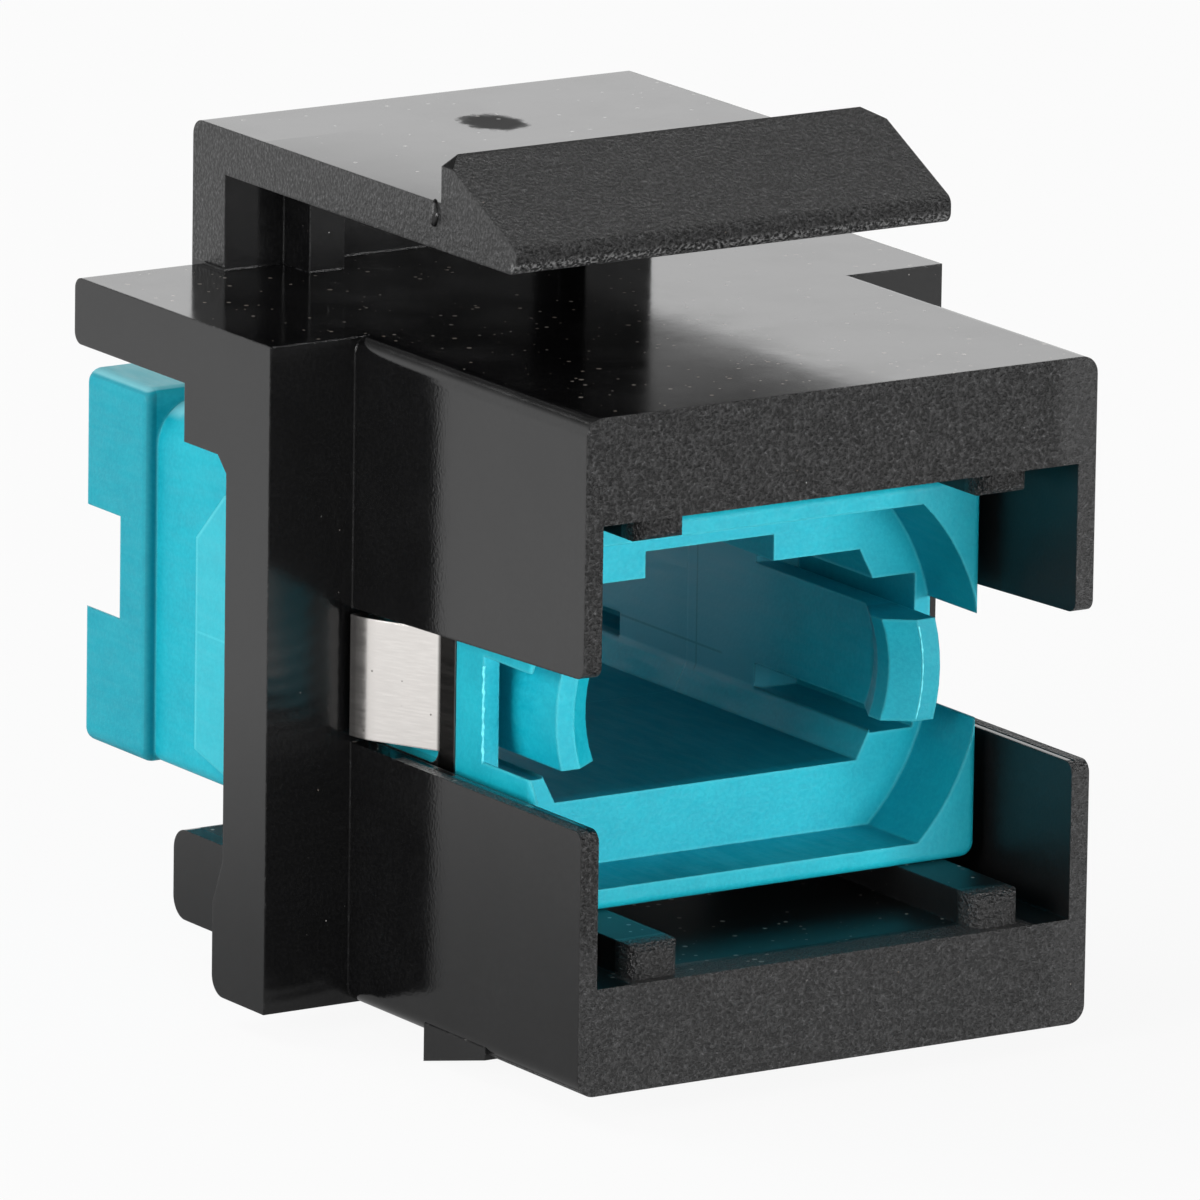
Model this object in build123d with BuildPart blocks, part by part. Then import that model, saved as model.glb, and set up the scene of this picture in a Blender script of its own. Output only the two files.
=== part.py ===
"""Snap-in keystone module that carries a multi-fibre push-on (MPO) adapter.

A black moulded housing with a sprung latch holds an aqua two-part adapter. A pressed steel saddle
with two flared tabs keeps the adapter from sliding back out of the housing.

Frame: millimetres, +Z up. X runs across the width and +Y runs from the front port to the rear port.
The origin is on the plane of the panel stops, midway across the width and the height of the housing.
"""

from build123d import *
import os

# Housing: front tube that passes through the panel, round the adapter
tube_reach = 10.3  # from the panel stops forward to the front face
bar_thickness = 2.62  # roof and floor of the tube
wall_thickness = 0.5  # thin side walls of the tube
side_gap = 0.35  # between the adapter and the tube's side walls
roof_gap = 0.96  # between the adapter and the tube's roof
tube_corner = 0.45
slot_below = 1.75  # side slots, open at the front: from the middle down to the lower edge
slot_above = 1.57  # from the middle up to the upper edge, beside the stops
slot_opening = 0.38  # the upper edge rises by this much towards the front
slot_corner = 0.3

# Housing: panel stops, one rib on each side
stop_reach = 2.4  # each rib stands out this far from the tube's side
stop_thickness = 1.95
foot_flare = 0.45  # the ribs grow deeper at the bottom
foot_height = 2.3
foot_blend = 1.1
foot_round = 0.5

# Housing: roof behind the stops, and the block that braces it
roof_thickness = 1.65
roof_reach = 9.05
brace_reach = 3.9
brace_drop = 1.45
brace_slope = 0.4
edge_round = 0.3

# Housing: floor behind the stops
tail_thickness = 2.27
tail_reach = 8.15
tail_round = 0.55
tail_lift = 0.35

# Housing: fixed lip under the floor
lip_back = 3.45  # from the panel stops forward to the lip's steep face
lip_length = 2.75
lip_drop = 0.65

# Housing: sprung latch
latch_width = 12.4
latch_gap = 2.4  # between the roof and the arm
arm_thickness = 1.15
riser_reach = 9.25  # from the panel stops back to the riser's rear face
riser_thickness = 1.5
hook_back = 2.1  # from the panel stops forward to the hook's steep face
hook_rise = 1.15
hook_reach = 5.45  # from the panel stops forward to the hook's nose
nose_thickness = 0.62
nose_round = 0.28
ridge_cut_width = 0.45  # the two ends of the hook's ridge are cut off at a slant
ridge_cut_drop = 0.25
latch_bend = 0.4
web_width = 1.0  # two webs stiffen the corner below the arm
web_depth = 1.2
web_spread = 8.0

# Housing: rails that carry the adapter
rail_width = 1.35
rail_height = 0.83  # the two on the floor, which the adapter rests on
upper_rail_height = 0.62
rail_spread = 9.75  # between the two rails of a pair
rail_setback = 0.3  # behind the front face
rail_round = 0.33

# Adapter body
body_width = 12.8
body_height = 9.47
body_setback = 6.75  # from the panel stops forward to the adapter's front
body_length = 20.65
body_corner = 0.35
body_round = 0.2  # the collar's edges
collar_length = 2.9
front_collar_length = 3.38
recess_depth = 0.32
recess_corner = 1.15

# Adapter socket
mouth_depth = 2.18
mouth_rim = 0.525  # above and below the mouth
mouth_flat = 9.4  # width of the mouth at its top and bottom
mouth_break = 0.1  # the bowed sides pass this far through the body's sides
notch_height = 2.6  # notch in each side of the mouth
rear_notch_depth = 1.7  # the notches of the rear half are shallower
bore_width = 9.4
bore_height = 5.25
bore_side_cut = 0.37
bore_height_cut = 0.72
key_width = 3.68
key_rise = 0.72

# Adapter claws, each a slice of a ring
claw_height = 2.52
claw_gap = 0.45  # between a claw's outer face and the wall of its pocket
claw_ring = 4.6  # outer radius of the ring
claw_thickness = 0.59
claw_hook = 0.56
claw_back = 0.5  # flat strip behind the hook, flush with the bore's wall
claw_hook_length = 0.5
claw_hook_slope = 1.1  # length over which the hook falls back to the claw's inner face
claw_flat = 0.5
claw_lead = 0.5
claw_setback = 0.35
pocket_length = 5.1
pocket_height = 3.85
pocket_wall = 0.45  # between a pocket and the body's side

# Adapter: raised pad on each side of the rear half
pad_height = 7.1
pad_length = 5.4
pad_rise = 0.1
pad_cut = 1.3  # its upper rear corner is cut at 45 degrees
pad_slant = 1.67  # its lower edge rises at a shallow slant towards the rear
pad_slant_height = 0.45

# Steel saddle
steel_thickness = 0.35
saddle_gap = 0.02  # between the front half's collar and the saddle's front edge
saddle_length = 5.2
saddle_drop = 8.1  # from its top down to the ends of its legs
window_height = 3.7
window_front = 0.7
window_length = 2.75
window_corner = 0.4
tab_height = 3.0
tab_reach = 1.9
tab_flare = 0.98
tab_toe_reach = 0.5
tab_toe_flare = 0.06
tab_bend = 1.6

# Places that follow from the sizes above
inner_width = body_width + 2 * side_gap
inner_height = rail_height + body_height + roof_gap
tube_width = inner_width + 2 * wall_thickness
tube_height = inner_height + 2 * bar_thickness
stop_width = tube_width + 2 * stop_reach
roof_top = tube_height / 2
arm_under = roof_top + latch_gap
arm_top = arm_under + arm_thickness
ridge_top = arm_top + hook_rise
body_bottom = -inner_height / 2 + rail_height
body_middle = body_bottom + body_height / 2
body_front = -body_setback
body_back = body_front + body_length
body_joint = (body_front + body_back) / 2
mouth_height = body_height - 2 * mouth_rim
mouth_bulge = body_width + 2 * mouth_break
pocket_reach = body_width / 2 - pocket_wall
claw_reach = pocket_reach - claw_gap
recess_front = body_front + collar_length
collar_end = body_front + front_collar_length
saddle_setback = -collar_end - saddle_gap  # from the panel stops forward to its front edge
recess_half = body_width / 2 - recess_depth
recess_top = body_bottom + body_height - recess_depth

os.makedirs("parts", exist_ok=True)

# Latch: riser, arm and hook are one profile, carried across the width
with BuildPart() as latch:
    with BuildSketch(Plane.YZ) as latch_profile:
        with BuildLine():
            Polyline(
                (riser_reach, roof_top - roof_thickness),
                (riser_reach, arm_top),
                (-hook_back, arm_top),
                (-hook_back, ridge_top),
                (-hook_reach, arm_under + nose_thickness),
                (-hook_reach, arm_under),
                (riser_reach - riser_thickness, arm_under),
                (riser_reach - riser_thickness, roof_top - roof_thickness),
                close=True,
            )
        make_face()
        riser_corner = latch_profile.vertices().group_by(Axis.Y)[-2].sort_by(Axis.X)[-1]
        fillet(riser_corner, latch_bend)
        nose_corners = latch_profile.vertices().group_by(Axis.X)[0]
        fillet(nose_corners, nose_round)
    extrude(amount=latch_width / 2, both=True)
    # The ends of the ridge are cut off at a slant
    with BuildSketch(Plane.XZ):
        with BuildLine():
            Polyline(
                (latch_width / 2, ridge_top - ridge_cut_drop),
                (latch_width / 2, ridge_top),
                (latch_width / 2 - ridge_cut_width, ridge_top),
                close=True,
            )
        make_face()
        mirror(about=Plane.YZ)
    extrude(amount=hook_reach, mode=Mode.SUBTRACT)
    # Webs in the corner between the riser and the arm
    with BuildSketch(Plane.XY.offset(roof_top - roof_thickness / 2)):
        with GridLocations(web_spread, 1, 2, 1):
            with Locations((0, riser_reach - riser_thickness)):
                Rectangle(web_width, web_depth, align=(Align.CENTER, Align.MAX))
    extrude(until=Until.NEXT)

# Rails: two on the floor and two under the roof, each with a rounded nose
with BuildPart() as rails:
    with BuildSketch(Plane.XZ.offset(tube_reach - rail_setback)):
        with GridLocations(rail_spread, 1, 2, 1):
            with Locations((0, -inner_height / 2)):
                Rectangle(rail_width, rail_height, align=(Align.CENTER, Align.MIN))
            with Locations((0, inner_height / 2)):
                Rectangle(rail_width, upper_rail_height, align=(Align.CENTER, Align.MAX))
    extrude(amount=-(tube_reach - rail_setback + stop_thickness))
    nose_edges = rails.faces().group_by(Axis.Y)[0].edges().group_by(Axis.Z)
    fillet(nose_edges[1:-1], rail_round)

with BuildPart() as housing:
    # Front tube
    with BuildSketch(Plane.XZ.offset(tube_reach)):
        RectangleRounded(tube_width, tube_height, tube_corner)
    extrude(amount=-(tube_reach + stop_thickness))
    # The stops, their feet, the roof and its brace share one side profile
    with BuildSketch(Plane.YZ) as stop_profile:
        with BuildLine():
            Polyline(
                (stop_thickness + foot_flare, -roof_top + foot_height),
                (stop_thickness + foot_flare, -roof_top),
                (0, -roof_top),
                (0, roof_top),
                (roof_reach, roof_top),
                (roof_reach, roof_top - roof_thickness),
                (brace_reach, roof_top - roof_thickness),
                (brace_reach, roof_top - roof_thickness - brace_drop),
                (stop_thickness + brace_slope, roof_top - roof_thickness - brace_drop),
                (stop_thickness, roof_top - roof_thickness - brace_drop - brace_slope),
                (stop_thickness, -roof_top + foot_height + foot_blend),
                close=True,
            )
        make_face()
        foot_corner = stop_profile.vertices().group_by(Axis.Y)[0].sort_by(Axis.X)[-1]
        fillet(foot_corner, foot_round)
        wing_corners = stop_profile.vertices().group_by(Axis.X)[-1]
        fillet(wing_corners, edge_round)
    extrude(amount=stop_width / 2, both=True)
    # Floor behind the stops
    with BuildSketch(Plane.YZ) as tail_profile:
        with Locations((0, -roof_top + tail_lift)):
            Rectangle(tail_reach, tail_thickness, align=(Align.MIN, Align.MIN))
        fillet(tail_profile.vertices().group_by(Axis.X)[-1], tail_round)
    extrude(amount=tube_width / 2, both=True)
    # Fixed lip under the floor
    with BuildSketch(Plane.YZ):
        with BuildLine():
            Polyline(
                (-lip_back, -roof_top + edge_round),
                (-lip_back, -roof_top - lip_drop),
                (-lip_back - lip_length, -roof_top),
                (-lip_back - lip_length, -roof_top + edge_round),
                close=True,
            )
        make_face()
    extrude(amount=tube_width / 2, both=True)
    # The inside is open from the front face to behind the stops
    with BuildSketch(Plane.XZ.offset(tube_reach)):
        Rectangle(inner_width, inner_height)
    extrude(amount=-(tube_reach + roof_reach), mode=Mode.SUBTRACT)
    # Side slots
    with BuildSketch(Plane.YZ):
        with BuildLine():
            Polyline(
                (0, -slot_below),
                (0, slot_above),
                (-tube_reach, slot_above + slot_opening),
                (-tube_reach, -slot_below),
                close=True,
            )
        make_face()
    extrude(amount=tube_width, both=True, mode=Mode.SUBTRACT)
    jaw_edges = housing.edges().filter_by(Axis.X).group_by(Axis.Y)[0].filter_by_position(
        Axis.Z, -slot_below * 1.01, (slot_above + slot_opening) * 1.01
    )
    fillet(jaw_edges, slot_corner)
    add(rails.part)
    add(latch.part)

# Claws of one half: a ring with a hooked section, of which two slices are kept
claw_tip = body_front + claw_setback
claw_root = body_front + mouth_depth + pocket_length + claw_lead
claw_inner = claw_reach - claw_thickness
hook_inner = claw_inner - claw_hook
hook_start = claw_tip + claw_lead
with BuildPart() as claws:
    with BuildSketch(Plane.XY.offset(body_middle)):
        with BuildLine():
            Polyline(
                (claw_reach, claw_root),
                (claw_reach, claw_tip),
                (claw_reach - claw_flat, claw_tip),
                (hook_inner, hook_start),
                (hook_inner, hook_start + claw_hook_length),
                (claw_inner, hook_start + claw_hook_length + claw_hook_slope),
                (claw_inner, claw_root),
                close=True,
            )
        make_face()
    ring_axis = Axis((claw_reach - claw_ring, 0, body_middle), (0, 1, 0))
    revolve(axis=ring_axis)
    with BuildSketch(Plane.XZ.offset(-claw_root)):
        with Locations((claw_reach - claw_ring, body_middle)):
            Rectangle(claw_ring, claw_height, align=(Align.MIN, Align.CENTER))
    extrude(amount=claw_root - claw_tip, mode=Mode.INTERSECT)
    with BuildSketch(Plane.XZ.offset(-claw_root)):
        with Locations((bore_width / 2, body_middle)):
            Rectangle(claw_back, claw_height, align=(Align.MIN, Align.CENTER))
    extrude(amount=claw_root - hook_start - claw_hook_length)
    mirror(about=Plane.YZ)

# What the two halves of the adapter have in common
with BuildPart() as socket_half:
    # Collar round the port
    with BuildSketch(Plane.XZ.offset(-body_front)):
        with Locations((0, body_middle)):
            RectangleRounded(body_width, body_height, body_corner)
    extrude(amount=-collar_length)
    fillet(socket_half.edges().filter_by(Axis.Y, reverse=True), body_round)
    # Narrower middle, where the saddle sits
    with BuildSketch(Plane.XZ.offset(-recess_front)) as recess_outline:
        with Locations((0, body_bottom)):
            Rectangle(2 * recess_half, recess_top - body_bottom, align=(Align.CENTER, Align.MIN))
        fillet(recess_outline.vertices().group_by(Axis.Y)[-1], recess_corner)
        fillet(recess_outline.vertices().group_by(Axis.Y)[0], body_corner)
    extrude(amount=-(body_joint - recess_front))
    # Mouth with bowed sides that break through the body's sides
    with BuildSketch(Plane.XZ.offset(-body_front)):
        with BuildLine():
            top_right = (mouth_flat / 2, body_middle + mouth_height / 2)
            low_right = (mouth_flat / 2, body_middle - mouth_height / 2)
            top_left = (-mouth_flat / 2, body_middle + mouth_height / 2)
            low_left = (-mouth_flat / 2, body_middle - mouth_height / 2)
            ThreePointArc(top_right, (mouth_bulge / 2, body_middle), low_right)
            Line(low_right, low_left)
            ThreePointArc(low_left, (-mouth_bulge / 2, body_middle), top_left)
            Line(top_left, top_right)
        make_face()
    extrude(amount=-mouth_depth, mode=Mode.SUBTRACT)
    with BuildSketch(Plane.XZ.offset(-body_front)):
        with Locations((0, body_middle)):
            Rectangle(body_width, notch_height)
    extrude(amount=-mouth_depth, mode=Mode.SUBTRACT)
    # Bore for the plug, with cut corners and a slot for the plug's key
    with BuildSketch(Plane.XZ.offset(-body_front)) as bore_outline:
        with Locations((0, body_middle)):
            with BuildLine():
                Polyline(
                    (bore_width / 2, 0),
                    (bore_width / 2, bore_height / 2 - bore_height_cut),
                    (bore_width / 2 - bore_side_cut, bore_height / 2),
                    (0, bore_height / 2),
                )
                mirror(about=Plane.XZ)
                mirror(about=Plane.YZ)
            make_face()
        with Locations((0, body_middle)):
            Rectangle(key_width, bore_height / 2 + key_rise, align=(Align.CENTER, Align.MIN))
    extrude(amount=-(body_joint - body_front), mode=Mode.SUBTRACT)
    # Pockets for the claws
    with BuildSketch(Plane.XZ.offset(-body_front - mouth_depth / 2)):
        with Locations((0, body_middle)):
            Rectangle(2 * pocket_reach, pocket_height)
            Rectangle(bore_width, pocket_height, mode=Mode.SUBTRACT)
    extrude(amount=-(mouth_depth / 2 + pocket_length), mode=Mode.SUBTRACT)
    add(claws.part)

# The front half's collar is longer, and the saddle's front edge rests against it
with BuildPart() as front_half:
    add(socket_half.part)
    with BuildSketch(Plane.XZ.offset(-recess_front + 2 * body_round)):
        with Locations((0, body_middle)):
            RectangleRounded(body_width, body_height, body_corner)
        with Locations((0, body_bottom)):
            Rectangle(
                2 * recess_half,
                recess_top - body_bottom,
                align=(Align.CENTER, Align.MIN),
                mode=Mode.SUBTRACT,
            )
    extrude(amount=-(collar_end - recess_front + 2 * body_round))

# The rear half faces the other way and has a raised pad on each side
with BuildPart() as rear_half:
    mirror(socket_half.part, about=Plane.XZ.offset(-body_joint))
    pad_bottom = body_bottom + body_corner
    pad_top = pad_bottom + pad_height
    pad_end = body_joint + pad_length
    with BuildSketch(Plane.YZ.offset(recess_half)):
        with BuildLine():
            Polyline(
                (body_joint, pad_bottom),
                (pad_end - pad_slant, pad_bottom),
                (pad_end, pad_bottom + pad_slant_height),
                (pad_end, pad_top - pad_cut),
                (pad_end - pad_cut, pad_top),
                (body_joint, pad_top),
                close=True,
            )
        make_face()
    pad = extrude(amount=pad_rise)
    mirror(pad, about=Plane.YZ)
    # A low ridge makes its side notches shallower
    with BuildSketch(Plane.XZ.offset(-body_back + rear_notch_depth)):
        with Locations((0, body_middle)):
            Rectangle(body_width, notch_height)
            Rectangle(2 * pocket_reach, notch_height, mode=Mode.SUBTRACT)
    extrude(amount=mouth_depth - rear_notch_depth)

# Steel saddle over the adapter's back, with a window and a flared tab in each leg
with BuildPart() as saddle:
    with BuildSketch(Plane.XZ.offset(saddle_setback)) as saddle_section:
        with Locations((0, recess_top + steel_thickness)):
            Rectangle(
                2 * (recess_half + steel_thickness), saddle_drop, align=(Align.CENTER, Align.MAX)
            )
        fillet(saddle_section.vertices().group_by(Axis.Y)[-1], recess_corner + steel_thickness)
    extrude(amount=-saddle_length)
    with BuildSketch(Plane.XZ.offset(saddle_setback)) as saddle_inside:
        with Locations((0, recess_top)):
            Rectangle(2 * recess_half, saddle_drop, align=(Align.CENTER, Align.MAX))
        fillet(saddle_inside.vertices().group_by(Axis.Y)[-1], recess_corner)
    extrude(amount=-saddle_length, mode=Mode.SUBTRACT)
    with BuildSketch(Plane.YZ):
        with Locations((-saddle_setback + window_front + window_length / 2, 0)):
            RectangleRounded(window_length, window_height, window_corner)
    extrude(amount=body_width, both=True, mode=Mode.SUBTRACT)
    tab_line = recess_half + steel_thickness / 2
    tab_start = -saddle_setback + window_front
    with BuildSketch(Plane.XY.offset(-tab_height / 2)):
        with BuildLine() as tab_path:
            Polyline(
                (tab_line, tab_start - window_front / 4),
                (tab_line, tab_start),
                (tab_line + tab_flare, tab_start + tab_reach),
                (tab_line + tab_flare + tab_toe_flare, tab_start + tab_reach + tab_toe_reach),
            )
            fillet(tab_path.vertices().sort_by(Axis.Y)[-2], tab_bend)
        trace(line_width=steel_thickness)
        mirror(about=Plane.YZ)
    extrude(amount=tab_height)

housing.part.label = "keystone_housing"
front_half.part.label = "adapter_front_half"
rear_half.part.label = "adapter_rear_half"
saddle.part.label = "spring_clip"
export_step(housing.part, "parts/keystone_housing.step")
export_step(front_half.part, "parts/adapter_front_half.step")
export_step(rear_half.part, "parts/adapter_rear_half.step")
export_step(saddle.part, "parts/spring_clip.step")
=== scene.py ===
# %% [markdown]
# Snap-in fibre adapter module, dressed for a studio picture.
# The real object is a black moulded keystone housing with a sprung latch, an aqua adapter in two halves,
# and a pressed steel saddle between them. The solids come from the construction model, so this file
# adds the finishes, the small moulding marks, the light and the camera.

import bpy
import numpy as np
from mathutils import Matrix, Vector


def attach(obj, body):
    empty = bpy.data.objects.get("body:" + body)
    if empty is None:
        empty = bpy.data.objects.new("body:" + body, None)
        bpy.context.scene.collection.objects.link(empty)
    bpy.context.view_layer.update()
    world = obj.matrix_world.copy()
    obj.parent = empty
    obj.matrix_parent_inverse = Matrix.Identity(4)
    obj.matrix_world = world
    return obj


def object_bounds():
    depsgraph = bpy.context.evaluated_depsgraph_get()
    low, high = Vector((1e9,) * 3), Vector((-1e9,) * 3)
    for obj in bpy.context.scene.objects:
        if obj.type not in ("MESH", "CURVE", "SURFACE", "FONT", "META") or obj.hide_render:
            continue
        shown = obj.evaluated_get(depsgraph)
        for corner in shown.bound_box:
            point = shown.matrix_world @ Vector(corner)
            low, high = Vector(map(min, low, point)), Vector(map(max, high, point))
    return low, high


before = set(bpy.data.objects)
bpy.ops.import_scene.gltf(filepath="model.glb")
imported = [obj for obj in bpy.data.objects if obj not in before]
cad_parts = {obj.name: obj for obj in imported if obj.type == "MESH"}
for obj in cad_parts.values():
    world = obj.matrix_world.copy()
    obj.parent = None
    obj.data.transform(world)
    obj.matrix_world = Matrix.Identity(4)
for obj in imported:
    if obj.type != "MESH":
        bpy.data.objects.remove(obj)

MM = 0.001
construction_box = [list(corner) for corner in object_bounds()]
print("nodes:", sorted(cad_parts))

# %% [markdown]
# The camera. A product photographer stands well back with a long lens, so the box shape keeps almost
# parallel edges. The angles, the focal length and the shift below were found by laying the module's own
# straight edges over the picture until they met. The picture is taken as 1200 by 1200 pixels.

# %% Camera
yaw = np.radians(32.8519)
pitch = np.radians(13.4374)
roll = np.radians(-0.8469)
picture_pixels = 1200
focal_pixels = 17084.06
offset_mm = np.array([5.56897, 11.00567, 408.36270])
picture_origin_mm = np.array([0.0, 10.3, 8.25])

forward = np.array([np.sin(yaw) * np.cos(pitch), np.cos(yaw) * np.cos(pitch), -np.sin(pitch)])
level_right = np.array([np.cos(yaw), -np.sin(yaw), 0.0])
level_down = np.cross(forward, level_right)
right = np.cos(roll) * level_right + np.sin(roll) * level_down
down = -np.sin(roll) * level_right + np.cos(roll) * level_down
turn = np.array([right, down, forward])
place = (-turn.T @ offset_mm - picture_origin_mm) * MM

camera_data = bpy.data.cameras.new("studio_camera")
camera_data.lens = focal_pixels / picture_pixels * camera_data.sensor_width
camera = bpy.data.objects.new("studio_camera", camera_data)
bpy.context.scene.collection.objects.link(camera)
pose = np.eye(4)
pose[:3, 0] = right
pose[:3, 1] = -down
pose[:3, 2] = -forward
pose[:3, 3] = place
camera.matrix_world = Matrix(pose.tolist())
bpy.context.scene.camera = camera
print("camera at", place.round(4), "lens mm", round(camera_data.lens, 1))

# %% [markdown]
# Small helpers for node trees. A finish is a graph, and each helper adds one kind of node to it, so the
# finishes below read as recipes. The floor and the air use the same helpers.

# %% Node helpers
class Graph:
    """A node tree and the sums that can be made on it."""

    def __init__(self, tree):
        """Keeps the tree's nodes and links at hand."""
        self.nodes = tree.nodes
        self.links = tree.links

    def feed(self, socket, value):
        """A number is written on the socket, and another socket is linked to it."""
        if isinstance(value, bpy.types.NodeSocket):
            self.links.new(value, socket)
        else:
            socket.default_value = value

    def split(self, vector):
        """A vector's three numbers, or a colour's."""
        node = self.nodes.new("ShaderNodeSeparateXYZ")
        self.links.new(vector, node.inputs[0])
        return node.outputs[0], node.outputs[1], node.outputs[2]

    def vector(self, operation, a, b=(0, 0, 0)):
        """One sum of the vectors a and b, such as a minus b. A length or a dot product is one number."""
        node = self.nodes.new("ShaderNodeVectorMath")
        node.operation = operation
        self.feed(node.inputs[0], a)
        if operation == "LENGTH":
            return node.outputs["Value"]
        self.feed(node.inputs[1], b)
        return node.outputs["Value" if operation == "DOT_PRODUCT" else "Vector"]

    def sum(self, operation, a, b=0.0):
        """One sum of the numbers a and b, such as a plus b."""
        node = self.nodes.new("ShaderNodeMath")
        node.operation = operation
        self.feed(node.inputs[0], a)
        self.feed(node.inputs[1], b)
        return node.outputs[0]

    def both(self, a, b):
        """Where two masks meet, or a number times a weight: a times b."""
        return self.sum("MULTIPLY", a, b)

    def either(self, a, b):
        """Where at least one of two masks is: the larger of a and b."""
        return self.sum("MAXIMUM", a, b)

    def off(self, value, middle=0.0):
        """Distance from a middle: the size of value minus middle."""
        return self.sum("ABSOLUTE", self.sum("SUBTRACT", value, middle))

    def step(self, value, low, high, out_low=0.0, out_high=1.0):
        """Smooth step: out_low at low, out_high at high, between them 3 t squared minus 2 t cubed."""
        node = self.nodes.new("ShaderNodeMapRange")
        node.interpolation_type = "SMOOTHSTEP"
        self.feed(node.inputs["Value"], value)
        node.inputs["From Min"].default_value = low
        node.inputs["From Max"].default_value = high
        node.inputs["To Min"].default_value = out_low
        node.inputs["To Max"].default_value = out_high
        return node.outputs["Result"]

    def mix_shaders(self, factor, first, second):
        """A blend of two shaders: (1 minus factor) times the first plus factor times the second."""
        node = self.nodes.new("ShaderNodeMixShader")
        self.feed(node.inputs["Fac"], factor)
        self.links.new(first, node.inputs[1])
        self.links.new(second, node.inputs[2])
        return node.outputs[0]


print("graph helpers:", [name for name in vars(Graph) if not name.startswith("_")])

# %% [markdown]
# Helpers for finishes. A finish has to know where on the module it is and which way the face looks.
# Places are worked out in millimetres from Object coordinates, which stay with the surface whatever the
# camera does.

# %% Finish helpers
class Recipe(Graph):
    """A material being built, with its main shader and each point's place and facing."""

    def __init__(self, name):
        """Place in millimetres is the Object coordinate divided by a millimetre."""
        self.material = bpy.data.materials.new(name)
        self.material.use_nodes = True
        super().__init__(self.material.node_tree)
        self.shader = self.nodes["Principled BSDF"]
        coordinates = self.nodes.new("ShaderNodeTexCoord")
        self.place = self.vector("MULTIPLY", coordinates.outputs["Object"], (1 / MM, 1 / MM, 1 / MM))
        self.x, self.y, self.z = self.split(self.place)
        self.nx, self.ny, self.nz = self.split(coordinates.outputs["Normal"])

    def stretched(self, scale):
        """The place, multiplied by a scale of its own along each axis."""
        return self.vector("MULTIPLY", self.place, scale)

    def noise(self, scale, detail, roughness, vector=None):
        """A cloudy number round 0.5, with scale waves to the millimetre and detail finer layers."""
        node = self.nodes.new("ShaderNodeTexNoise")
        self.links.new(vector or self.place, node.inputs["Vector"])
        node.inputs["Scale"].default_value = scale
        node.inputs["Detail"].default_value = detail
        node.inputs["Roughness"].default_value = roughness
        return node.outputs["Fac"]

    def cells(self, scale):
        """Scattered points, scale to the millimetre: the distance to the nearest, and its three numbers."""
        node = self.nodes.new("ShaderNodeTexVoronoi")
        self.links.new(self.place, node.inputs["Vector"])
        node.inputs["Scale"].default_value = scale
        return node.outputs["Distance"], self.split(node.outputs["Color"])

    def blend(self, factor, a, b):
        """A colour between two: (1 minus factor) times a plus factor times b."""
        node = self.nodes.new("ShaderNodeMix")
        node.data_type = "RGBA"
        self.feed(node.inputs["Factor"], factor)
        self.feed(node.inputs["A"], a)
        self.feed(node.inputs["B"], b)
        return node.outputs["Result"]

    def mix(self, factor, a, b):
        """A number between two: (1 minus factor) times a plus factor times b."""
        node = self.nodes.new("ShaderNodeMix")
        node.data_type = "FLOAT"
        self.feed(node.inputs["Factor"], factor)
        self.feed(node.inputs["A"], a)
        self.feed(node.inputs["B"], b)
        return node.outputs["Result"]

    def soft_edges(self, radius_mm):
        """The normal as if every edge were rounded with this radius."""
        node = self.nodes.new("ShaderNodeBevel")
        node.samples = 2
        node.inputs["Radius"].default_value = radius_mm * MM
        return node.outputs["Normal"]

    def edge_turn(self, soft_normal):
        """Nearness to an edge: the cosine of the angle between the rounded and the flat normal."""
        flat_normal = self.nodes.new("ShaderNodeNewGeometry").outputs["Normal"]
        return self.vector("DOT_PRODUCT", soft_normal, flat_normal)

    def relief(self, height_mm, soft_normal):
        """A height in millimetres tilts the shading normal by its own slope."""
        node = self.nodes.new("ShaderNodeBump")
        node.inputs["Strength"].default_value = 1.0
        node.inputs["Distance"].default_value = MM
        self.feed(node.inputs["Height"], height_mm)
        self.links.new(soft_normal, node.inputs["Normal"])
        self.links.new(node.outputs["Normal"], self.shader.inputs["Normal"])


def grey(level, blue):
    """A nearly neutral colour: red and green are equal, and blue is the same or a touch higher."""
    return (level, level, blue, 1)


print("finish helpers:", [name for name in vars(Recipe) if not name.startswith("_")])

# %% [markdown]
# Black moulding, where each finish goes. The tool that moulds the housing was spark-eroded where the front
# shows, which leaves a pebbled grain on the front faces, the hook's faces and the rail noses. The latch's
# sides have a finer satin grain, and the tops were polished. Each zone is a smooth mask of place and
# facing, so that it stops where the face does.

# %% Black moulding zones
# Each pair holds the two values between which a mask rises: places in millimetres, or parts of a normal
facing = (0.75, 0.9)
front_end = (-9.0, -9.3)
hook_foot = (10.62, 10.66)
hook_rear = (-2.0, -2.2)
hook_nose = (-4.6, -4.9)
jaw_outside = (6.9, 7.0)
jaw_rear = (-1.9, -2.0)
jaw_gap = (2.4, 2.2)
port_width = (6.85, 6.75)
port_height = (5.75, 5.65)
rail_front = (-9.2, -9.5)
rail_outside = (5.8, 5.7)
latch_foot = (8.3, 8.36)
latch_outside = (5.8, 5.9)
rib_outside = (7.3, 7.4)
tube_outside = (7.7, 7.6)

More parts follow.
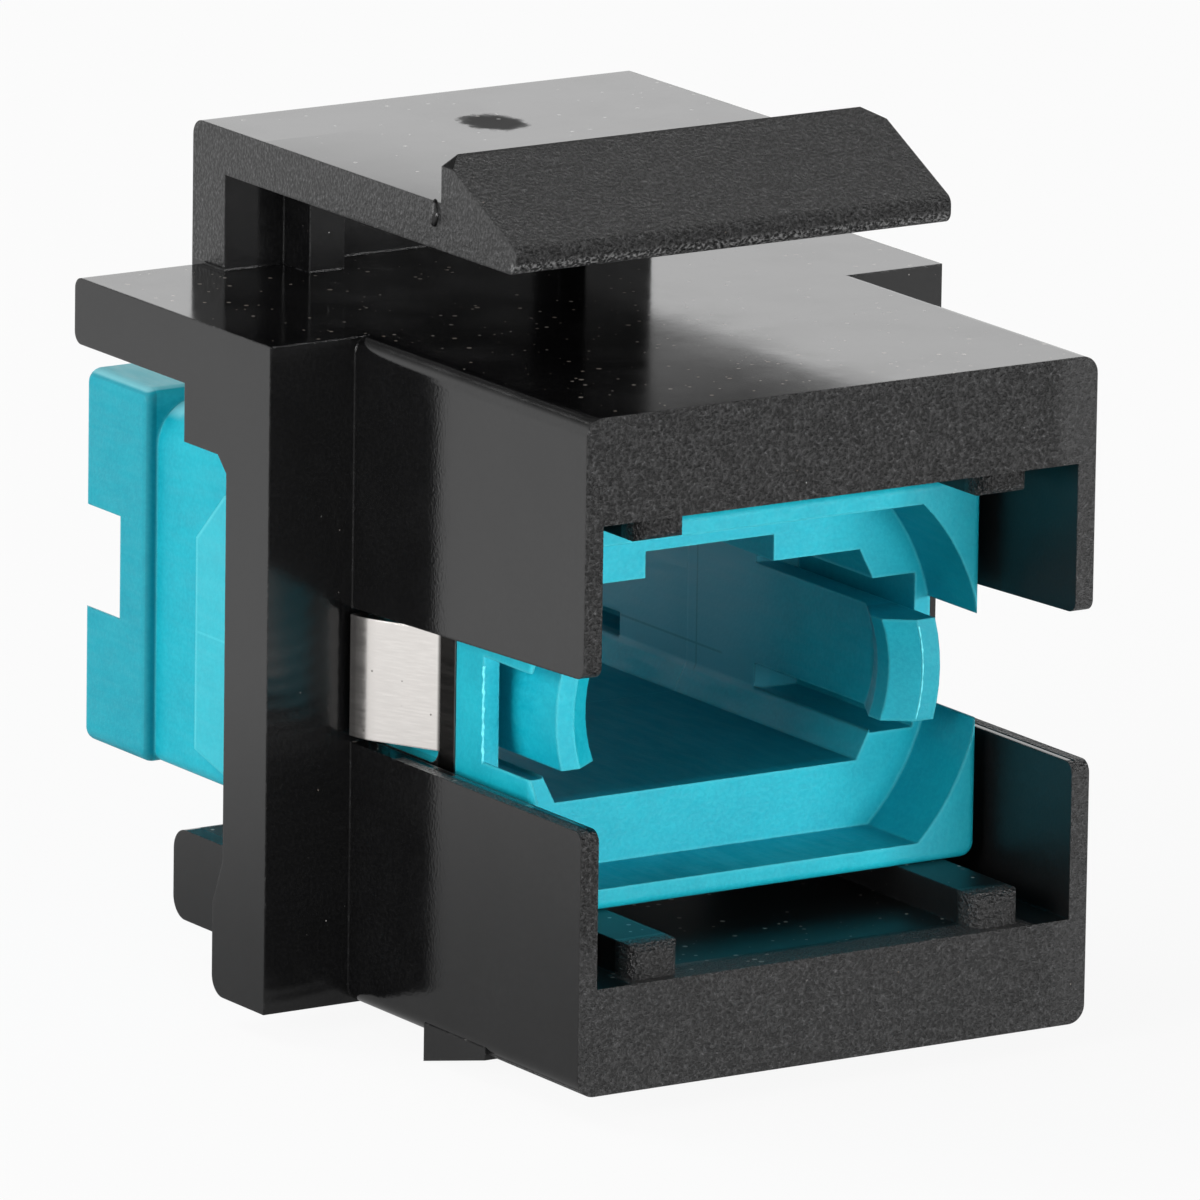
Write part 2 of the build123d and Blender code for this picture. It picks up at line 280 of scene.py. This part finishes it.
black = Recipe("black_moulding_finish")
outward = black.off(black.x)
front_facing = black.step(black.ny, -0.3, -0.6)
upward = black.step(black.nz, *facing)
level_face = black.step(black.off(black.nz), *facing)
sideways = black.step(black.off(black.nx), *facing)
nose_zone = black.step(black.y, *front_end)
hook_zone = black.both(black.step(black.z, *hook_foot), black.step(black.y, *hook_rear))
hook_face = black.both(hook_zone, black.step(black.ny, -0.1, -0.3))
hook_under = black.both(black.step(black.y, *hook_nose), black.step(black.nz, -0.5, -0.8))
jaw_edge = black.both(level_face, black.step(outward, *jaw_outside))
jaw_edge = black.both(jaw_edge, black.step(black.y, *jaw_rear))
jaw_edge = black.both(jaw_edge, black.step(black.off(black.z), *jaw_gap))
within = black.both(black.step(outward, *port_width), black.step(black.off(black.z), *port_height))
rail_nose = black.both(within, black.step(black.y, *rail_front))
rail_nose = black.both(rail_nose, black.step(outward, *rail_outside))
grained = black.both(front_facing, nose_zone)
for zone in (hook_face, hook_under, jaw_edge, rail_nose):
    grained = black.either(grained, zone)
latch_side = black.both(sideways, black.step(black.z, *latch_foot))
latch_side = black.both(latch_side, black.step(outward, *latch_outside))
rib_front = black.both(front_facing, black.step(outward, *rib_outside))
tube_side = black.both(sideways, black.step(outward, *tube_outside))
print("black zone nodes:", len(black.nodes))

# %% [markdown]
# Black moulding, the relief. The grain is a noise with pebbles of about a tenth of a millimetre. The
# satin sides carry a tenth of its depth. The polished faces keep a slight waviness from the cooling
# plastic, and the rib's front shows faint rings, left by the stone that polished the tool. The arm's free
# corner sags a little, as thin plastic does when it cools: by a thousandth of the distance across, squared,
# times the distance along.

# %% Black moulding relief
# Each depth in millimetres multiplies a noise that runs from 0 to 1, or a sine
grain_depth = 0.28
satin_depth = 0.026
side_depth = 0.0024
wave_depth = 0.0014
ring_depth = 0.0009
ring_centre = (-9.4, -1.9, 3.4)
ring_radians_per_mm = 17.0
arm_top_height = (11.7, 11.76)
sag_across_end = -1.2
sag_along_end = 6.0
sag_share = -0.0010

pits = black.noise(11.0, 2.0, 0.6)
waves = black.noise(1.3, 3.0, 0.62)
ring_reach = black.vector("LENGTH", black.vector("SUBTRACT", black.place, ring_centre))
rings = black.sum("SINE", black.both(ring_reach, ring_radians_per_mm))
ring_height = black.both(black.both(rings, rib_front), ring_depth)
smooth_height = black.mix(tube_side, black.both(waves, wave_depth), black.both(pits, side_depth))
smooth_height = black.mix(latch_side, smooth_height, black.both(pits, satin_depth))
smooth_height = black.sum("ADD", smooth_height, ring_height)
arm_top = black.both(upward, black.step(black.z, *arm_top_height))
sag_across = black.either(black.sum("SUBTRACT", sag_across_end, black.x), 0.0)
sag_along = black.either(black.sum("SUBTRACT", sag_along_end, black.y), 0.0)
sag = black.both(black.both(sag_across, sag_across), black.both(sag_along, sag_share))
smooth_height = black.sum("ADD", smooth_height, black.both(sag, arm_top))
height = black.mix(grained, smooth_height, black.both(pits, grain_depth))
soft_normal = black.soft_edges(0.065)
black.relief(height, soft_normal)
print("black relief nodes:", len(black.nodes))

# %% [markdown]
# Black moulding, the dust. Grey specks lie on the polished tops, more on the roof than on the arm and more
# in some places than in others. Each scattered point has three numbers of its own: the first says whether
# it is a speck, the second how large it is, and the third how brown.

# %% Black moulding dust
haze = black.noise(0.5, 3.0, 0.6)
ragged = black.noise(3.2, 3.0, 0.7)
speck_distance, speck_numbers = black.cells(3.8)
speck_pick, speck_size, speck_brown = speck_numbers
level_top = black.both(upward, black.step(hook_zone, 0.6, 0.4))
speck_reach = black.mix(black.both(level_top, black.both(speck_size, speck_size)), 0.09, 0.28)
speck_core = black.step(black.sum("SUBTRACT", speck_distance, speck_reach), 0.0, -0.05)
settled = black.both(level_top, black.step(black.z, 9.0, 8.5, 0.12, 0.36))
settled = black.sum("SUBTRACT", settled, black.both(haze, 0.3))
dust = black.both(speck_core, black.step(black.sum("ADD", speck_pick, settled), 0.78, 0.84))
dust_tone = black.blend(speck_brown, (0.20, 0.15, 0.11, 1), (0.42, 0.42, 0.41, 1))
print("black dust nodes:", len(black.nodes))

# %% [markdown]
# Black moulding, the colour. Carbon black is nearly flat, so what shows is what lies on it: the grain's own
# tone, the dust, and rubbed edges where the part has met others in a bag, which are also painted lighter as
# a painted highlight. Pale glints where the grain catches the light, most of all along the hook's nose, are
# painted highlights. The right jaw and the lower front are painted a little paler, as painted light.

# %% Black moulding colour
fine_tone = black.step(pits, 0.35, 0.7, 0.25, 1.0)
body_tone = black.blend(black.both(haze, fine_tone), grey(0.0018, 0.002), grey(0.011, 0.0113))
grain_tone_and_painted_light = black.blend(black.step(pits, 0.40, 0.62), grey(0.0012, 0.0013), grey(0.036, 0.0365))
# Painted highlight: the grain's highest points are painted pale grey as glints.
grain_tone_and_painted_light = black.blend(black.step(pits, 0.64, 0.72), grain_tone_and_painted_light, grey(0.10, 0.102))
# Painted highlight: a band of glints along the hook nose's lower edge is painted pale.
nose_edge = black.both(hook_zone, black.step(black.y, -5.15, -5.3))
nose_edge = black.both(nose_edge, black.step(black.z, 11.0, 10.85))
painted_nose_glint = black.both(nose_edge, black.step(pits, 0.46, 0.62))
grain_tone_and_painted_light = black.blend(painted_nose_glint, grain_tone_and_painted_light, grey(0.19, 0.19))
# Painted light: the right jaw and the lower front are painted a little paler.
far_jaw = black.both(nose_zone, black.step(black.x, 5.9, 6.5))
low_front = black.both(nose_zone, black.step(black.z, -4.4, -4.9))
painted_paler_light = black.either(black.both(far_jaw, 0.30), black.both(low_front, 0.16))
grain_tone_and_painted_light = black.blend(painted_paler_light, grain_tone_and_painted_light, grey(0.10, 0.101))
toned = black.blend(black.either(grained, black.both(latch_side, 0.8)), body_tone, grain_tone_and_painted_light)
# The edges are painted lighter grey: partly wear, partly a painted highlight.
rubbed_and_highlit_edge = black.step(black.edge_turn(soft_normal), 0.992, 0.93)
rubbed_and_highlit_edge = black.both(rubbed_and_highlit_edge, black.step(ragged, 0.5, 0.62))
toned = black.blend(black.both(rubbed_and_highlit_edge, 0.75), toned, grey(0.03, 0.031))
black.links.new(black.blend(dust, toned, dust_tone), black.shader.inputs["Base Color"])
print("black colour nodes:", len(black.nodes))

# %% [markdown]
# Black moulding, the shine. The polished faces are glossy and the grained ones matt. A dull round patch
# with a ragged edge on the arm shows where the gate, through which the plastic came in, was cut off.

# %% Black moulding shine
gate_centre = (-0.1, 5.25, 11.8)
gate_squeeze = (1.15, 0.85, 1.0)
gate_fade = (1.42, 0.85)
polish = (0.09, 0.15)
side_polish = (0.09, 0.13)
grain_roughness = 0.44
rubbed_roughness = 0.7

gate_offset = black.vector("SUBTRACT", black.place, gate_centre)
gate_reach = black.vector("LENGTH", black.vector("MULTIPLY", gate_offset, gate_squeeze))
gate_edge = black.sum("ADD", gate_reach, black.both(ragged, 0.6))
gate_patch = black.both(black.both(black.step(gate_edge, *gate_fade), upward), arm_top)
shine = black.step(haze, 0.3, 0.7, *polish)
shine = black.mix(sideways, shine, black.step(haze, 0.3, 0.7, *side_polish))
for zone, roughness in ((rib_front, 0.17), (within, 0.4), (latch_side, 0.36)):
    shine = black.mix(zone, shine, roughness)
shine = black.either(shine, black.both(black.either(gate_patch, rubbed_and_highlit_edge), rubbed_roughness))
black.links.new(black.mix(grained, shine, grain_roughness), black.shader.inputs["Roughness"])
black.shader.inputs["IOR"].default_value = 1.5
print("black finish nodes:", len(black.nodes))

# %% [markdown]
# Aqua moulding, the skin. The adapter's nylon is filled with pigment, so it is strong in colour and a little
# milky, and the skin is mottled where the melt folded. Every edge, the hollow ones too, is painted lighter
# as a painted highlight. The melt flowed lengthways, so the streaks are long along y, and the shine follows
# them.

# %% Aqua moulding skin
# The colour of the socket's painted shade.
painted_shade_aqua = (0.0, 0.12, 0.17, 1)
# The colour of the pad's painted highlight and of its pale parting line.
pale_aqua_highlight_and_line = (0.10, 0.66, 0.75, 1)

aqua = Recipe("aqua_moulding_finish")
cloud = aqua.noise(0.8, 4.0, 0.68)
mottle = aqua.noise(9.0, 2.0, 0.65)
streaks = aqua.noise(1.0, 2.0, 0.6, aqua.stretched((3.0, 0.7, 5.0)))
tone = aqua.blend(aqua.step(cloud, 0.3, 0.7), (0.0006, 0.375, 0.485, 1), (0.001, 0.425, 0.535, 1))
tone = aqua.blend(aqua.step(mottle, 0.35, 0.7, 0.0, 0.22), tone, (0.03, 0.60, 0.70, 1))
soft_normal = aqua.soft_edges(0.11)
# Painted highlight: every edge, convex and concave, is painted lighter.
painted_edge_highlight = aqua.step(aqua.edge_turn(soft_normal), 0.995, 0.90, 0.0, 0.85)
tone = aqua.blend(painted_edge_highlight, tone, (0.11, 0.74, 0.84, 1))
aqua.relief(aqua.both(mottle, 0.008), soft_normal)
aqua.links.new(aqua.step(streaks, 0.3, 0.7, 0.42, 0.58), aqua.shader.inputs["Roughness"])
aqua.shader.inputs["IOR"].default_value = 1.4
print("aqua skin nodes:", len(aqua.nodes))

# %% [markdown]
# Aqua moulding, the socket. Two fine parting lines cross the bore's right wall. Deep inside, the wall is
# painted greyer, a painted reflection of the light from the rear port. The bore's floor, the ends of the
# claws' pockets and the mouth's right side are painted darker, a painted shade where the walls round them
# take the light away.

# %% Aqua moulding socket
wall_start = (4.6, 4.66)
wall_end = (5.2, 5.1)
line_width = (0.045, 0.015)
low_line_height = -1.38
upright_line_place = 3.15
pocket_end_place = 0.53
from_middle = aqua.off(aqua.x)
level_up = aqua.step(aqua.nz, 0.6, 0.8)

right_wall = aqua.both(aqua.step(aqua.x, *wall_start), aqua.step(aqua.x, *wall_end))
low_line = aqua.step(aqua.off(aqua.z, low_line_height), *line_width)
low_line = aqua.both(low_line, aqua.step(aqua.y, 1.9, 2.1))
upright_line = aqua.step(aqua.off(aqua.y, upright_line_place), *line_width)
wall_lines = aqua.both(right_wall, aqua.either(low_line, upright_line))
# Painted reflection: deep inside, the right wall is painted greyer.
painted_wall_reflection = aqua.both(right_wall, aqua.step(aqua.y, -2.0, 2.5))
tone = aqua.blend(aqua.both(painted_wall_reflection, 0.85), tone, (0.16, 0.48, 0.58, 1))
bore_floor = aqua.both(level_up, aqua.step(aqua.y, -4.4, -4.0))
bore_floor = aqua.both(bore_floor, aqua.step(aqua.z, -2.3, -2.5))
mouth_right = aqua.both(aqua.step(aqua.x, 3.6, 4.6), aqua.step(aqua.y, -4.5, -4.7))
pocket_end = aqua.both(aqua.step(aqua.ny, -0.6, -0.8), aqua.step(from_middle, 4.60, 4.66))
pocket_end = aqua.both(pocket_end, aqua.step(aqua.off(aqua.y, pocket_end_place), 0.2, 0.1))
# Painted shade: the bore's floor, the pockets' ends and the mouth's right side are painted darker.
painted_socket_shade = aqua.both(bore_floor, 0.45)
for zone, share in ((mouth_right, 0.36), (pocket_end, 0.9)):
    painted_socket_shade = aqua.either(painted_socket_shade, aqua.both(zone, share))
tone = aqua.blend(painted_socket_shade, tone, painted_shade_aqua)
tone = aqua.blend(aqua.both(wall_lines, 0.35), tone, (0.0, 0.10, 0.14, 1))
print("aqua socket nodes:", len(aqua.nodes))

# %% [markdown]
# Aqua moulding, the outside. The raised pad on each side is painted paler as a painted highlight, with a
# painted highlight along its rear and upper edges, and one pale parting line across. The rear collar's step
# and sides are painted darker as painted shade, and its top is painted lighter as painted light.

# %% Aqua moulding outside
pad_face = ((6.11, 6.14), (6.3, 6.25))
pad_ends = ((3.56, 3.6), (9.02, 8.98))
pad_rear_edge = 8.975
pad_top_edge = 2.65
pad_cut = 1.3
pad_line_height = -1.02
collar_front = (10.2, 10.6)

pad_side = aqua.both(aqua.step(from_middle, *pad_face[0]), aqua.step(from_middle, *pad_face[1]))
pad_length = aqua.both(aqua.step(aqua.y, *pad_ends[0]), aqua.step(aqua.y, *pad_ends[1]))
pad_side = aqua.both(pad_side, pad_length)
to_rear = aqua.sum("SUBTRACT", pad_rear_edge, aqua.y)
to_top = aqua.sum("SUBTRACT", pad_top_edge, aqua.z)
to_cut = aqua.both(aqua.sum("SUBTRACT", aqua.sum("ADD", to_rear, to_top), pad_cut), 0.7)
inset = aqua.sum("MINIMUM", aqua.sum("MINIMUM", to_rear, to_top), to_cut)
# Painted highlight: the pad's rear and upper rim is painted paler.
pad_rim_highlight = aqua.both(aqua.step(inset, 0.16, 0.04), 0.7)
pad_line = aqua.both(aqua.step(aqua.off(aqua.z, pad_line_height), 0.055, 0.02), 0.55)
pad_highlight_and_line = aqua.both(pad_side, aqua.either(pad_rim_highlight, pad_line))
# Painted highlight: the pad's face is painted paler too; the parting line across it is pale.
tone = aqua.blend(aqua.either(pad_highlight_and_line, aqua.both(pad_side, 0.3)), tone, pale_aqua_highlight_and_line)
on_collar = aqua.step(aqua.y, *collar_front)
# Painted shade: the rear collar's step and sides are painted darker.
collar_step = aqua.both(aqua.step(from_middle, 6.09, 6.13), aqua.step(from_middle, 6.4, 6.34))
collar_side = aqua.step(from_middle, 6.34, 6.38)
painted_collar_shade = aqua.either(aqua.both(collar_step, 0.5), aqua.both(collar_side, 0.32))
tone = aqua.blend(aqua.both(painted_collar_shade, on_collar), tone, (0.0, 0.16, 0.22, 1))
# Painted light: the rear collar's top is painted lighter.
painted_collar_top_light = aqua.both(level_up, on_collar)
tone = aqua.blend(aqua.both(painted_collar_top_light, 0.6), tone, (0.30, 0.75, 0.82, 1))
aqua.links.new(tone, aqua.shader.inputs["Base Color"])
print("aqua finish nodes:", len(aqua.nodes))

# %% [markdown]
# Rolled steel. The saddle is pressed from bright spring strip. Rolling leaves faint lines along the strip,
# and handling leaves a few dark specks. It is a mirror blurred along those lines. The tab's toe and the
# strip in front of the window lie in the slot's shadow, and are painted nearly black as painted shadow.

# %% Rolled steel
toe_start = (0.9, 1.3)
strip_end = (-2.6, -2.68)

steel = Recipe("rolled_steel_finish")
rolling = steel.noise(1.0, 3.0, 0.6, steel.stretched((4.0, 0.5, 22.0)))
steel_tone = steel.blend(rolling, (0.72, 0.69, 0.665, 1), (0.79, 0.76, 0.73, 1))
dot_distance, dot_numbers = steel.cells(2.6)
dots = steel.both(steel.step(dot_distance, 0.09, 0.05), steel.step(dot_numbers[0], 0.7, 0.75))
# Painted shadow: the strip in front of the window and the tab's toe are painted nearly black.
painted_slot_shadow = steel.both(steel.step(steel.y, *strip_end), 0.8)
painted_slot_shadow = steel.either(painted_slot_shadow, steel.step(steel.y, *toe_start))
steel_tone = steel.blend(painted_slot_shadow, steel_tone, (0.02, 0.02, 0.019, 1))
steel_tone = steel.blend(dots, steel_tone, (0.25, 0.24, 0.22, 1))
steel.links.new(steel_tone, steel.shader.inputs["Base Color"])
steel.shader.inputs["Metallic"].default_value = 1.0
steel.links.new(steel.step(rolling, 0.3, 0.7, 0.17, 0.25), steel.shader.inputs["Roughness"])
steel.relief(steel.both(rolling, 0.0012), steel.soft_edges(0.05))
print("steel finish nodes:", len(steel.nodes))

# %% [markdown]
# Dressing the solids. Each construction node is one real piece, so it takes one finish.

# %% Dress the construction solids
finish_of = {
    "keystone_housing": black,
    "adapter_front_half": aqua,
    "adapter_rear_half": aqua,
    "spring_clip": steel,
}
for node_name, recipe in finish_of.items():
    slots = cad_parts[node_name].material_slots
    for slot in slots:
        slot.material = recipe.material
    print(node_name, "slots:", len(slots))

# %% [markdown]
# How the small pieces are made. Each is a closed tube of rings with a cap point at each end, worked out as
# whole arrays in millimetres, and rides with the part.

# %% Helpers for small pieces
def place_piece(name, vertices_mm, faces, slot, recipe):
    """A new piece from vertices in millimetres: metres are millimetres times a thousandth."""
    mesh = bpy.data.meshes.new(name)
    mesh.from_pydata((vertices_mm * MM).tolist(), [], faces.tolist())
    mesh.shade_smooth()
    mesh.materials.append(recipe.material)
    piece = bpy.data.objects.new(name, mesh)
    bpy.context.scene.collection.objects.link(piece)
    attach(piece, "root")
    print(name, "faces:", len(faces))


def tube_faces(rows, columns):
    """Triangles of a closed tube. Point 0 is the first cap, ring r starts at 1 plus r times columns."""
    row, column = np.meshgrid(np.arange(rows - 1), np.arange(columns), indexing="ij")
    first = 1 + row * columns + column
    beside = 1 + row * columns + (column + 1) % columns
    quads = np.stack([first, beside, beside + columns, first + columns], -1).reshape(-1, 4)
    walls = np.vstack([quads[:, [0, 1, 2]], quads[:, [0, 2, 3]]])
    around = np.arange(columns)
    next_around = (around + 1) % columns
    first_cap = np.stack([np.zeros(columns, int), 1 + next_around, 1 + around], -1)
    last_ring = 1 + (rows - 1) * columns
    last_point = np.full(columns, 1 + rows * columns)
    last_cap = np.stack([last_point, last_ring + around, last_ring + next_around], -1)
    return np.vstack([walls, first_cap, last_cap])


print("a tube of 2 rings by 3 points has faces:", len(tube_faces(2, 3)))

# %% [markdown]
# Flash on the arm. Where two parts of the tool meet at the hook's foot, a little plastic squeezed out and
# stayed as a small lump on the arm's left side. It is an egg shape, half of it outside the arm, and two
# slow waves make it uneven.

# %% Flash lump
lump_centre = np.array([-6.2, -1.82, 11.53])
lump_radii = np.array([0.13, 0.17, 0.31])
lump_rows = 16
lump_columns = 24
polar = np.linspace(0, np.pi, lump_rows + 2)[1:-1, None]
around = np.linspace(0, 2 * np.pi, lump_columns, endpoint=False)[None, :]
sphere = np.stack(
    [np.sin(polar) * np.cos(around), np.sin(polar) * np.sin(around), np.cos(polar) * np.ones_like(around)],
    -1,
).reshape(-1, 3)
lump = np.vstack([[0, 0, 1], sphere, [0, 0, -1]]) * lump_radii
spot = lump + lump_centre
lump = lump * (1 + 0.12 * np.sin(9 * spot[:, 2:]) + 0.1 * np.sin(23 * spot[:, 1:2]))
lump_faces = tube_faces(lump_rows, lump_columns)[:, ::-1]
place_piece("arm_flash_lump", lump + lump_centre, lump_faces, "black_moulding", black)

# %% [markdown]
# Flash on the adapter. A hair of aqua plastic stands on the notch's edge on the left and on the right
# claw's front edge, where the tool's halves closed. Each is a thin tube along the edge, and its radius is
# a sum of sines, so that the hair thickens and thins. So thin a hair lets light through, and its colour
# is painted pale as painted light.

# %% Flash hairs
# The hair's colour is painted pale, as painted light.
painted_pale_flash = Recipe("aqua_flash_painted_light")
painted_pale_flash.shader.inputs["Base Color"].default_value = (0.14, 0.76, 0.85, 1)
painted_pale_flash.shader.inputs["Roughness"].default_value = 0.5


def hair(path, radius, columns=8):
    """A tube along a path: each ring is its path point plus the radius times a circle square to the path."""
    rows = len(path)
    along = np.linspace(0, 1, rows)[:, None]
    thick = radius * (0.75 + 0.25 * np.sin(31 * along) + 0.2 * np.sin(73 * along + 1.0))
    angle = np.linspace(0, 2 * np.pi, columns, endpoint=False)[None, :]
    heading = path[-1] - path[0]
    heading /= np.linalg.norm(heading)
    side = np.cross(heading, (0.0, 1.0, 0.0))
    side /= np.linalg.norm(side)
    other = np.cross(heading, side)
    circle = np.cos(angle)[..., None] * side + np.sin(angle)[..., None] * other
    ring = path[:, None, :] + thick[..., None] * circle
    return np.vstack([path[:1], ring.reshape(-1, 3), path[-1:]]), tube_faces(rows, columns)


notch_side = -6.395
notch_edge = -4.575
notch_rings = 60
notch_drop = np.linspace(1.0, -1.42, notch_rings)
notch_path = np.stack(
    [np.full(notch_rings, notch_side), notch_edge + 0.012 * np.sin(17 * notch_drop), notch_drop],
    -1,
)
place_piece("notch_flash_hair", *hair(notch_path, 0.038), "aqua_moulding", painted_pale_flash)

claw_ring_centre = 0.9
claw_ring_radius = 4.1
claw_front = -6.4
claw_middle = -0.065
claw_rings = 50
claw_sweep = np.linspace(1.1, -1.2, claw_rings)
claw_across = claw_ring_centre + np.sqrt(claw_ring_radius ** 2 - claw_sweep ** 2)
claw_path = np.stack([claw_across, np.full(claw_rings, claw_front), claw_sweep + claw_middle], -1)
place_piece("claw_flash_hair", *hair(claw_path, 0.026), "aqua_moulding", painted_pale_flash)

# %% [markdown]
# The floor. The product stands on white paper. Its faint shadow stays, and the paper glows for the camera
# so that it comes out white. In mirrored rays the paper's glow is painted dimmer close to the module, a
# painted shade for where the module itself keeps the light off.

# %% Floor
floor_height = construction_box[0][2]
floor_reach = 6.0
paper_white = (0.9, 0.9, 0.9, 1)
glow_share = 0.92
shade_reach = (0.008, 0.048)
shade_depth = (0.62, 0.03)

corner_signs = np.array([[-1, -1], [1, -1], [1, 1], [-1, 1]])
corners = np.column_stack([corner_signs * floor_reach, np.full(4, floor_height)])
floor_mesh = bpy.data.meshes.new("studio_floor")
floor_mesh.from_pydata(corners.tolist(), [], [(0, 1, 2, 3)])
studio_floor = bpy.data.objects.new("studio_floor", floor_mesh)
bpy.context.scene.collection.objects.link(studio_floor)

paper_material = bpy.data.materials.new("floor_paper")
paper_material.use_nodes = True
floor_mesh.materials.append(paper_material)
paper = Graph(paper_material.node_tree)
matt = paper.nodes["Principled BSDF"]
matt.inputs["Base Color"].default_value = paper_white
matt.inputs["Roughness"].default_value = 0.9
ray = paper.nodes.new("ShaderNodeLightPath")
mirrored = ray.outputs["Is Glossy Ray"]
seen = paper.either(ray.outputs["Is Camera Ray"], ray.outputs["Is Transmission Ray"])
paper_place = paper.nodes.new("ShaderNodeTexCoord").outputs["Object"]
# Painted shade: in mirrored rays the paper's glow is painted dimmer near the module.
painted_floor_shade = paper.step(paper.vector("LENGTH", paper_place), *shade_reach, *shade_depth)
glow = paper.nodes.new("ShaderNodeEmission")
paper.feed(glow.inputs["Strength"], paper.sum("SUBTRACT", 1.0, paper.both(mirrored, painted_floor_shade)))
share = paper.both(paper.either(seen, mirrored), glow_share)
lit_paper = paper.mix_shaders(share, matt.outputs[0], glow.outputs[0])
paper.links.new(lit_paper, paper.nodes["Material Output"].inputs["Surface"])
print("floor at", round(floor_height / MM, 2), "mm")

# %% [markdown]
# The air. It fills the shadows a little. For mirrored rays it is white round the horizon and darker
# overhead, as a studio is, so that the polished tops show a bright backdrop.

# %% World
fill = 0.2
ceiling_rise = (0.30, 0.55)
ceiling_light = (1.0, 0.12)

world = bpy.data.worlds.new("studio_air")
bpy.context.scene.world = world
world.use_nodes = True
air = Graph(world.node_tree)
white_air = air.nodes["Background"]
white_air.inputs["Color"].default_value = (1, 1, 1, 1)
dim_air = air.nodes.new("ShaderNodeBackground")
dim_air.inputs["Color"].default_value = (1, 1, 1, 1)
dim_air.inputs["Strength"].default_value = fill
rise = air.split(air.nodes.new("ShaderNodeTexCoord").outputs["Generated"])[2]
air.feed(white_air.inputs["Strength"], air.step(rise, *ceiling_rise, *ceiling_light))
air_ray = air.nodes.new("ShaderNodeLightPath")
air_seen = air.either(air_ray.outputs["Is Camera Ray"], air_ray.outputs["Is Glossy Ray"])
air_seen = air.either(air_seen, air_ray.outputs["Is Transmission Ray"])
lit_air = air.mix_shaders(air_seen, dim_air.outputs[0], white_air.outputs[0])
air.links.new(lit_air, air.nodes["World Output"].inputs["Surface"])
print("air nodes:", len(air.nodes))

# %% [markdown]
# The lamps. One softbox high behind and one high at the left light the tops and the left side, a weak one
# behind on the right rims the edges, and a long low one lights the front. It is almost level with the
# module, so that it reaches the front faces and leaves the bore's floor dark.

# %% Lamps
def softbox(name, place_m, width, height, watts):
    """A flat rectangular lamp which looks at the module: its back points along its own place."""
    data = bpy.data.lights.new(name, "AREA")
    data.shape = "RECTANGLE"
    data.size = width
    data.size_y = height
    data.energy = watts
    lamp = bpy.data.objects.new(name, data)
    bpy.context.scene.collection.objects.link(lamp)
    back = np.array(place_m, float)
    back /= np.linalg.norm(back)
    side = np.cross((0.0, 0.0, 1.0), back)
    side /= np.linalg.norm(side)
    matrix = np.eye(4)
    matrix[:3, 0] = side
    matrix[:3, 1] = np.cross(back, side)
    matrix[:3, 2] = back
    matrix[:3, 3] = place_m
    lamp.matrix_world = Matrix(matrix.tolist())
    print(name, "watts", watts)


softbox("softbox_behind", (0.55, 0.72, 0.30), 0.6, 0.4, 0.25)
softbox("softbox_overhead", (-0.3, 0.5, 0.7), 0.5, 0.5, 2.3)
softbox("softbox_left", (-0.75, -0.08, 0.22), 0.6, 0.36, 4.8)
softbox("softbox_front", (0.12, -0.78, 0.035), 0.7, 0.09, 6.0)
bpy.context.scene.view_settings.view_transform = "Standard"

# %% [markdown]
